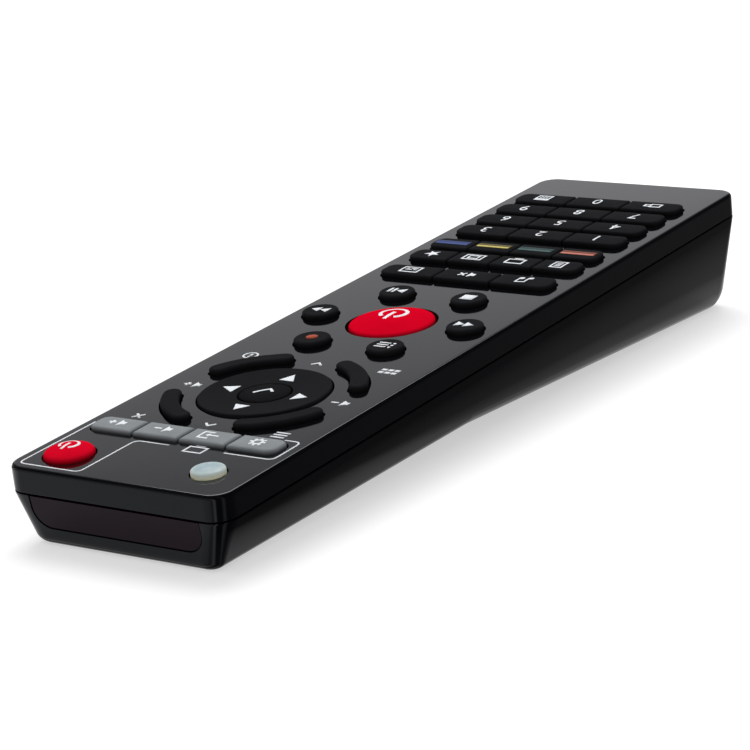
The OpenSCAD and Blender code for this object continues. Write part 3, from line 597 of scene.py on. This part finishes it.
def block_outline(w, d, left_r, right_r, inset):
    """A rectangle drawn in by inset, whose two ends have their own corner radius: four arcs, joined by
    straight runs."""
    turn = np.radians(np.linspace(0, 90, 9))
    runs = []
    for start, side_x, side_y, r in [(0, 1, 1, right_r), (90, -1, 1, left_r), (180, -1, -1, left_r),
                                     (270, 1, -1, right_r)]:
        arc_r = max(r - inset, 0)
        reach = max(r, inset)
        x = side_x * (w / 2 - reach) + arc_r * np.cos(turn + math.radians(start))
        y = side_y * (d / 2 - reach) + arc_r * np.sin(turn + math.radians(start))
        runs.append(np.stack([x, y], 1))
    share = np.linspace(0, 1, 8)[1:-1, None]
    joined = []
    for run, following in zip(runs, runs[1:] + runs[:1]):
        joined += [run, run[-1] + share * (following[0] - run[-1])]
    return np.vstack(joined)


def key_block(node, left_r, right_r, edge_r, sink, finish, slot):
    """The skin of a row key, from its foot up: rings of its outline, drawn in along the edge and crown.
    Its top lies sink lower than the CAD solid's. Gives the middle of its top, its half depth, its rise
    and its edge."""
    cx, cy, w, d, top = standing(node, key_clear)
    rise = top - sink
    edge = edge_r * (1 - np.cos(np.radians(np.linspace(0, 90, 8))))
    inner = np.linspace(edge_r, crown_reach * d / 2, 7)[1:]
    top_insets = np.concatenate([edge, inner])
    insets = np.concatenate([[-key_flange, -key_flange, 0, 0], top_insets])
    heights = np.concatenate([[flange_foot, flange_top, flange_top, key_side_top],
                              crowned(top_insets, d / 2, rise, edge_r)])
    rings = np.stack([block_outline(w, d, left_r, right_r, inset) for inset in insets])
    place = on_face(rings[..., 0] + cx, rings[..., 1] + cy, heights[:, None])
    skin = piece_of(node + "_block", place, ring_faces(*rings.shape[:2]), finish, node)
    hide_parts(node)
    return cx, cy, d / 2, rise, edge_r


# Painted shade: the pale grey silicone falls to 0.22 of its colour at the foot of its keys.
grey_rubber = silicone("pale_grey_silicone", (0.235, 0.253, 0.261), roughness=0.55, spread=0.08,
                       sheen_level=0.08, painted_shade_share=0.22)
grey_row = ["tv_set_key", "tv_source_key", "tv_volume_down_key", "tv_volume_up_key"]
black_rows = [
    ["audio_key", "mute_key", "subtitle_key"],
    ["teletext_key", "tv_radio_key", "format_key", "favourites_key"],
    ["red_key", "green_key", "yellow_key", "blue_key"],
    ["digit_1_key", "digit_2_key", "digit_3_key"],
    ["digit_4_key", "digit_5_key", "digit_6_key"],
    ["digit_7_key", "digit_8_key", "digit_9_key"],
    ["usb_key", "digit_0_key", "plan_key"],
]
key_tops = {}
for row in [grey_row] + black_rows:
    form = (black_edge, 0, black_rubber, "black_rubber")
    if row is grey_row:
        form = (grey_edge, grey_sink, grey_rubber, "grey_rubber")
    for name in row:
        left_r = end_r if name == row[0] else inner_r
        right_r = end_r if name == row[-1] else inner_r
        key_tops[name] = key_block(name, left_r, right_r, *form)


# The two power keys: domes of satin red silicone with a soft rim, each standing in a round hole
# of the cover.
red_rubber = silicone("red_silicone", (0.66, 0.0015, 0.017), roughness=0.42, spread=0.04,
                      sheen_level=0, painted_shade_share=1)
# A brighter copy of the red silicone for the higher dome, painted darker on its lower side as painted
# shade.
red_rubber_painted_shade = silicone("red_silicone_painted_shade", (0.7, 0.003, 0.02), roughness=0.42, spread=0.04,
                           sheen_level=0, painted_shade_share=0.35)
power_shape = dome("power_key", "power_key", red_rubber, rim=0.3, soft=0.8, flange=0.9)
tv_power_shape = dome("tv_power_key", "tv_power_key", red_rubber_painted_shade, rim=0.8, soft=1.3,
                      flange=0.5)


# The prints of the row keys: white and coloured ink, pad-printed, about a thirtieth of a millimetre
# thick. Each key has a plain sign for what it does, its digit, or a bar of its colour.
def ink(name, colour):
    """Printing ink: nearly even, a little thin in places, with a dry satin surface."""
    finish, shader = plain_part(name, colour, 0.45, 2600, 0.08)
    shader.inputs["Specular IOR Level"].default_value = 0.05
    return finish


white_ink = ink("white_ink", (0.84, 0.87, 0.9))
ink_t = 0.00003
ink_lift = 0.02
curve_step = 0.5
sign_size = 1.25


def line(path, width, closed=False):
    """A printed line: each point moved half a width both ways along the mitre of its two pieces, and the
    two rows joined."""
    p = np.asarray(path, float)
    if closed:
        before, after = np.roll(p, 1, 0), np.roll(p, -1, 0)
    else:
        before = np.vstack([2 * p[0] - p[1], p[:-1]])
        after = np.vstack([p[1:], 2 * p[-1] - p[-2]])
    come = (p - before) / np.linalg.norm(p - before, axis=1, keepdims=True)
    go = (after - p) / np.linalg.norm(after - p, axis=1, keepdims=True)
    left_in = np.stack([-come[:, 1], come[:, 0]], 1)
    left_out = np.stack([-go[:, 1], go[:, 0]], 1)
    mitre = left_in + left_out
    mitre = mitre / np.linalg.norm(mitre, axis=1, keepdims=True)
    mitre = mitre / np.clip((mitre * left_in).sum(1, keepdims=True), 0.35, 1)
    count = len(p)
    i = np.arange(count if closed else count - 1)
    j = (i + 1) % count
    faces = np.stack([count + i, count + j, j, i], 1)
    return np.vstack([p + mitre * width / 2, p - mitre * width / 2]), faces.tolist()


def area(path):
    """A filled outline, one face whose points run anticlockwise."""
    return np.asarray(path, float), [list(range(len(path)))]


def disc(r, centre=(0, 0), count=28):
    """A filled circle."""
    return area(arc(r, 0, 360, count + 1, centre)[:-1])


def box_path(w, h, x=0, y=0):
    """The four corners of a rectangle about a middle, anticlockwise."""
    return np.array([(-w, -h), (w, -h), (w, h), (-w, h)]) / 2 + (x, y)


def frame_of(w, h, width, x=0, y=0):
    """The outline of a rectangle about a middle."""
    return line(box_path(w, h, x, y), width, True)


def moved(marks, x, y, size=sign_size):
    """The same marks at another size about another middle."""
    return [(points * size + (x, y), faces) for points, faces in marks]


def refined(points, faces, step):
    """The same flat faces as triangles whose edges are halved until none is longer than step, so that
    they follow a curved top."""
    work = bmesh.new()
    for x, y in points:
        work.verts.new((x, y, 0))
    work.verts.ensure_lookup_table()
    for face in faces:
        work.faces.new([work.verts[corner] for corner in face])
    bmesh.ops.triangulate(work, faces=work.faces)
    for _ in range(5):
        long_edges = [edge for edge in work.edges if edge.calc_length() > step]
        bmesh.ops.subdivide_edges(work, edges=long_edges, cuts=1)
        bmesh.ops.triangulate(work, faces=work.faces)
    work.verts.index_update()
    flat = np.array([vertex.co[:2] for vertex in work.verts])
    made = [[vertex.index for vertex in face.verts] for face in work.faces]
    work.free()
    return flat, made


def print_on(name, marks, body, middle, height, finish, step=0, over=0):
    """Marks laid on a surface about a middle: height gives how far out of the key face each point of it
    lies, and over is the ink already under them. A step makes them follow a curved surface."""
    points = np.vstack([mark[0] for mark in marks])
    starts = np.cumsum([0] + [len(mark[0]) for mark in marks])
    faces = []
    for (_, mark_faces), start in zip(marks, starts):
        faces += [[corner + start for corner in face] for face in mark_faces]
    if step:
        points, faces = refined(points, faces, step)
    x, y = points[:, 0] + middle[0], points[:, 1] + middle[1]
    place = on_face(x, y, height(x, y) + ink_lift + over)
    made = piece_of(name, place, faces, finish, body, sharp=35)
    coat = made.modifiers.new("ink_coat", "SOLIDIFY")
    coat.thickness = ink_t
    coat.offset = -1


def print_on_key(name, ending, marks, finish, over=0):
    """Marks laid on the crowned top of a row key."""
    cx, cy, half, rise, edge_r = key_tops[name]
    print_on(name + ending, marks, name, (cx, cy),
             lambda x, y: crowned(half - np.abs(y - cy), half, rise, edge_r), finish, curve_step, over)


def letters(text, size):
    """Points and faces of a text in the plain built-in type, centred, made a mesh at once."""
    curve = bpy.data.curves.new("type", "FONT")
    curve.body = text
    curve.size = size
    curve.align_x = "CENTER"
    curve.align_y = "CENTER"
    curve.fill_mode = "FRONT"
    curve.resolution_u = 4
    holder = bpy.data.objects.new("type", curve)
    bpy.context.scene.collection.objects.link(holder)
    bpy.context.view_layer.update()
    mesh = holder.evaluated_get(bpy.context.evaluated_depsgraph_get()).to_mesh()
    points = points_of(mesh)[:, :2]
    faces = [list(face.vertices) for face in mesh.polygons]
    bpy.data.objects.remove(holder)
    bpy.data.curves.remove(curve)
    return points - middle_of(points), faces


def rays(radii, angles):
    """Points at the given radii and angles in degrees, as rows."""
    turn = np.radians(angles)
    return np.stack([radii * np.cos(turn), radii * np.sin(turn)], 1)


speaker = area([(-1.7, -0.5), (-1.1, -0.5), (-0.35, -1.15), (-0.35, 1.15), (-1.1, 0.5), (-1.7, 0.5)])
minus = line([(0.25, 0), (1.65, 0)], 0.42)
plus = line([(0.95, -0.7), (0.95, 0.7)], 0.42)
spokes = rays(1.0, np.arange(0, 360, 45))
star = rays(np.array([1.6, 0.66] * 5), np.arange(90, 450, 36))
row_signs = {
    "tv_set_key": [line(arc(0.8, 0, 348, 29), 0.42, True)]
    + [line([0.9 * spoke, 1.45 * spoke], 0.48) for spoke in spokes],
    "tv_source_key": [line([(-0.3, -1.15), (1.6, -1.15), (1.6, 1.15), (-0.3, 1.15)], 0.38),
                      line([(-1.7, 0), (0.1, 0)], 0.38), area([(0, -0.65), (0.8, 0), (0, 0.65)])],
    "tv_volume_down_key": [speaker, minus],
    "tv_volume_up_key": [speaker, minus, plus],
    "audio_key": [disc(0.5, (-0.9, -0.95)), disc(0.5, (0.8, -0.7)),
                  line([(-0.52, -0.95), (-0.52, 1), (1.18, 1.25), (1.18, -0.7)], 0.32)],
    "mute_key": [speaker, line([(0.3, -0.65), (1.6, 0.65)], 0.38),
                 line([(0.3, 0.65), (1.6, -0.65)], 0.38)],
    "subtitle_key": [frame_of(3.6, 2.5, 0.34), line([(-1.2, -0.55), (0.2, -0.55)], 0.36),
                     line([(0.55, -0.55), (1.2, -0.55)], 0.36), line([(-1.2, 0.1), (-0.5, 0.1)], 0.36),
                     line([(-0.15, 0.1), (1.2, 0.1)], 0.36)],
    "teletext_key": [frame_of(2.3, 2.8, 0.34)]
    + [line([(-0.65, y), (0.65, y)], 0.32) for y in (-0.65, 0, 0.65)],
    "tv_radio_key": [frame_of(3.4, 2, 0.36, 0, 0.3), line([(-0.9, -1.25), (0.9, -1.25)], 0.38)],
    "format_key": [frame_of(3.8, 2.4, 0.34), frame_of(2, 1.3, 0.32)],
    "favourites_key": [area(star)],
    "usb_key": [frame_of(2.1, 1.5, 0.36, -0.65), frame_of(1.2, 0.95, 0.34, 1)],
    "plan_key": [frame_of(2.8, 2.5, 0.34), line([(-1.3, 0.75), (1.3, 0.75)], 0.5)]
    + [disc(0.24, (x, y), 12) for x in (-0.65, 0, 0.65) for y in (-0.65, 0)],
}
for name, marks in row_signs.items():
    print_on_key(name, "_print", moved(marks, 0, 0), white_ink)
digit_size = 4.8
for digit in range(10):
    print_on_key("digit_%d_key" % digit, "_print", [letters(str(digit), digit_size)], white_ink)

# Each colour key gets a wide band of dim ink, and on it a narrow bar of bright ink nearer the infrared
# end.
band = line([(-4.4, 0.1), (4.4, 0.1)], 2.2)
bar = line([(-4.2, 0.75), (4.2, 0.75)], 0.8)
band_t = 0.015
bar_inks = {
    "red": ((0.19, 0.05, 0.035), (0.55, 0.2, 0.14)),
    "green": ((0.02, 0.043, 0.045), (0.065, 0.125, 0.12)),
    "yellow": ((0.11, 0.09, 0.025), (0.6, 0.5, 0.14)),
    "blue": ((0.03, 0.05, 0.16), (0.06, 0.095, 0.27)),
}
for hue, (dim, bright) in bar_inks.items():
    print_on_key(hue + "_key", "_band", [band], ink(hue + "_dim_ink", dim))
    print_on_key(hue + "_key", "_print", [bar], ink(hue + "_ink", bright), band_t)


# The prints of the other keys, in the same kind of ink: on the flat tops of the round keys, on the
# ring's dish, on the low dome of its middle key, and on the two red domes.
def print_on_round(name, marks, finish):
    """Marks laid on the flat top of a round key, about its middle."""
    cx, cy, _, _, top = standing(name, key_clear)
    print_on(name + "_print", marks, name, (cx, cy), lambda x, y: top + 0 * x, finish)


wedge = np.array([(-1.1, -1.3), (1.1, 0), (-1.1, 1.3)])
wedges = [wedge - (1.1, 0), wedge + (1.1, 0)]
list_rows = (-1.15, 0, 1.15)
round_signs = {
    "forward_key": [area(path) for path in wedges],
    "rewind_key": [area(path * (-1, -1)) for path in wedges],
    "stop_key": [area(box_path(3.2, 2.8))],
    "play_pause_key": [area(wedges[0]), line([(0.55, -1.3), (0.55, 1.3)], 0.65),
                       line([(1.65, -1.3), (1.65, 1.3)], 0.65)],
    "list_key": [line([(-0.8, y), (2, y)], 0.5) for y in list_rows]
    + [disc(0.36, (-1.7, y), 14) for y in list_rows],
}
for name, marks in round_signs.items():
    print_on_round(name, marks, white_ink)
print_on_round("record_key", [disc(1.3)], ink("record_red_ink", (0.36, 0.06, 0.025)))

arrow = np.array([(-1.8, -1.6), (1.8, -1.6), (0, 1.6)])
arrow_r = 8.9
arrows = []
for turn in np.radians([0, 90, 180, 270]):
    c, s = np.cos(turn), np.sin(turn)
    arrows.append(area((arrow + (0, arrow_r)) @ np.array([[c, s], [-s, c]])))
print_on("nav_ring_print", arrows, "nav_ring", (ring_x, ring_y),
         lambda x, y: dished(np.hypot(x - ring_x, y - ring_y)), white_ink, curve_step)


def print_on_dome(name, marks, shape, away=0):
    """Marks laid on a dome, away from its middle along the face: their points take the ball's height."""
    cx, cy, ball_r, ball_z = shape
    print_on(name + "_print", marks, name, (cx, cy + away),
             lambda x, y: ball_z + np.sqrt(ball_r ** 2 - (x - cx) ** 2 - (y - cy) ** 2), white_ink,
             curve_step)


def power_sign(size):
    """A broken circle with a stroke in its gap."""
    stroke = 0.3 * size
    return [line(arc(size, 122, 418, 40), stroke), line([(0, -0.15 * size), (0, 1.35 * size)], stroke)]


print_on_dome("ok_key", [line([(-1.9, -0.1), (-0.6, -1.3), (1.9, 1.4)], 0.62)], ok_shape)
print_on_dome("power_key", power_sign(2.9), power_shape, -1.2)
print_on_dome("tv_power_key", power_sign(1.9), tv_power_shape, -0.4)


# The prints on the cover: a thin frame round the television keys with a small screen in its gap, and
# the signs of the ring and its four curved keys.
def rounded_path(points, r):
    """A path whose inner corners are rounded: each corner is cut back by r and turned by a quadratic
    curve."""
    points = np.asarray(points, float)
    share = np.linspace(0, 1, 9)[:, None]
    runs = [points[:1]]
    for before, corner, after in zip(points[:-2], points[1:-1], points[2:]):
        a = corner + r * (before - corner) / np.linalg.norm(before - corner)
        b = corner + r * (after - corner) / np.linalg.norm(after - corner)
        runs.append((1 - share) ** 2 * a + 2 * share * (1 - share) * corner + share ** 2 * b)
    return np.vstack(runs + [points[-1:]])


frame_side = 24
frame_inner = 8.9
frame_near = from_face(cover_points)[1].max() - 2.2
frame_step = frame_near - 17.3
frame_far = frame_near - 26.7
frame_r = 1.6
frame_width = 0.36
frame_paths = [
    [(0.7, frame_step), (frame_inner, frame_step), (frame_inner, frame_near), (frame_side, frame_near),
     (frame_side, frame_far + 3.5)],
    [(-20, frame_far), (-frame_side, frame_far), (-frame_side, frame_step), (-12.5, frame_step)]]
frame_lines = [line(rounded_path(path, frame_r), frame_width) for path in frame_paths]
screen_sign = [frame_of(4.2, 2.6, 0.45, -6, frame_step + 0.4),
               line([(-7.2, frame_step - 1.6), (-4.8, frame_step - 1.6)], 0.45)]
chevron = np.array([(-1, -0.55), (0, 0.45), (1, -0.55)])
cross = [line([(-0.8, -0.8), (0.8, 0.8)], 0.42), line([(-0.8, 0.8), (0.8, -0.8)], 0.42)]
three_lines = [line([(-1.3, y), (1.3, y)], 0.42) for y in (-0.9, 0, 0.9)]
six_boxes = [area(box_path(1, 0.8, x, y)) for x in (-1.25, 0, 1.25) for y in (-0.6, 0.6)]
ringed_i = [line(arc(1.25, 0, 348, 29), 0.34, True), line([(0, -0.7), (0, 0.2)], 0.4),
            disc(0.24, (0, 0.62), 12)]
beside = 18.4
corner_x, corner_y = 17.5, 18.7
ring_signs = (
    moved([line(chevron, 0.42)], 0, beside) + moved([line(chevron * (-1, -1), 0.42)], 0, -beside)
    + moved([speaker, minus, plus], beside, 0) + moved([speaker, minus], -beside, 0)
    + moved(cross, corner_x, corner_y) + moved(three_lines, -corner_x, corner_y)
    + moved(six_boxes, -corner_x, -corner_y) + moved(ringed_i, corner_x, -corner_y))
print_on("cover_print", frame_lines + screen_sign + moved(ring_signs, ring_x, ring_y, 1), "housing",
         (0, 0), lambda x, y: 0 * x, white_ink)


# The stage: a pale floor that the remote control stands on, one large soft lamp above it and an
# even room, with the floor lifted to white for the eye and for reflections.
floor_half = 4
floor_lift = 0.52
floor_mesh = bpy.data.meshes.new("floor")
floor_corners = [(*corner, 0) for corner in box_path(2 * floor_half, 2 * floor_half)]
floor_mesh.from_pydata(floor_corners, [], [(0, 1, 2, 3)])
floor = bpy.data.objects.new("floor", floor_mesh)
bpy.context.scene.collection.objects.link(floor)
floor_paint, floor_shader = new_finish("floor_paint", (0.62, 0.62, 0.62), 0.9, 1.3)
floor_mesh.materials.append(floor_paint)
seen = wire(floor_paint, "LightPath").outputs
mirrored = reckon(floor_paint, "MAXIMUM", seen["Is Camera Ray"], seen["Is Glossy Ray"])
lifted = reckon(floor_paint, "MAXIMUM", mirrored, seen["Is Transmission Ray"])
floor_shader.inputs["Emission Color"].default_value = (1, 1, 1, 1)
feed(floor_paint, floor_shader.inputs["Emission Strength"],
     reckon(floor_paint, "MULTIPLY", lifted, floor_lift))

lamp = bpy.data.lights.new("soft_lamp", "AREA")
lamp.shape = "RECTANGLE"
lamp.size = 0.8
lamp.size_y = 0.8
lamp.energy = 9
lamp_holder = bpy.data.objects.new("soft_lamp", lamp)
lamp_holder.location = (0.3, -0.45, 1)
lamp_holder.rotation_euler = Vector(lamp_holder.location).to_track_quat("Z", "Y").to_euler()
bpy.context.scene.collection.objects.link(lamp_holder)

room = bpy.data.worlds.new("even_room")
bpy.context.scene.world = room
room.use_nodes = True
sky = room.node_tree.nodes["Background"]
sky.inputs["Strength"].default_value = 1.25
upward = wire(room, "SeparateXYZ", Vector=wire(room, "TexCoord").outputs["Generated"]).outputs["Z"]
room_levels = [(0, 0.84), (0.27, 0.68), (0.311, 0.56), (0.358, 0.4), (0.39, 0.272), (0.47, 0.264),
               (0.62, 0.36), (1, 0.48)]
cool = 1.02
feed(room, sky.inputs["Color"],
     ramp(room, upward, [(height, (level, level, level * cool)) for height, level in room_levels]))


# The camera: a long lens at the photograph's place, above the infrared end and to its left. Its place
# and its turn were fitted to the outline and to the rows of keys.
lens = bpy.data.cameras.new("camera")
lens.lens = 131.5
lens.sensor_width = 36
lens.clip_start = 0.01
eye = bpy.data.objects.new("camera", lens)
eye_across = (-0.82206, -0.56446, -0.07481)
eye_up = (0.09792, -0.26957, 0.95799)
eye_back = (-0.56092, 0.7802, 0.27688)
eye_place = (-0.32467, 0.46598, 0.17232)
eye.matrix_world = Matrix([*zip(eye_across, eye_up, eye_back, eye_place), (0, 0, 0, 1)])
bpy.context.scene.collection.objects.link(eye)
bpy.context.scene.camera = eye
bpy.context.scene.view_settings.view_transform = "Standard"
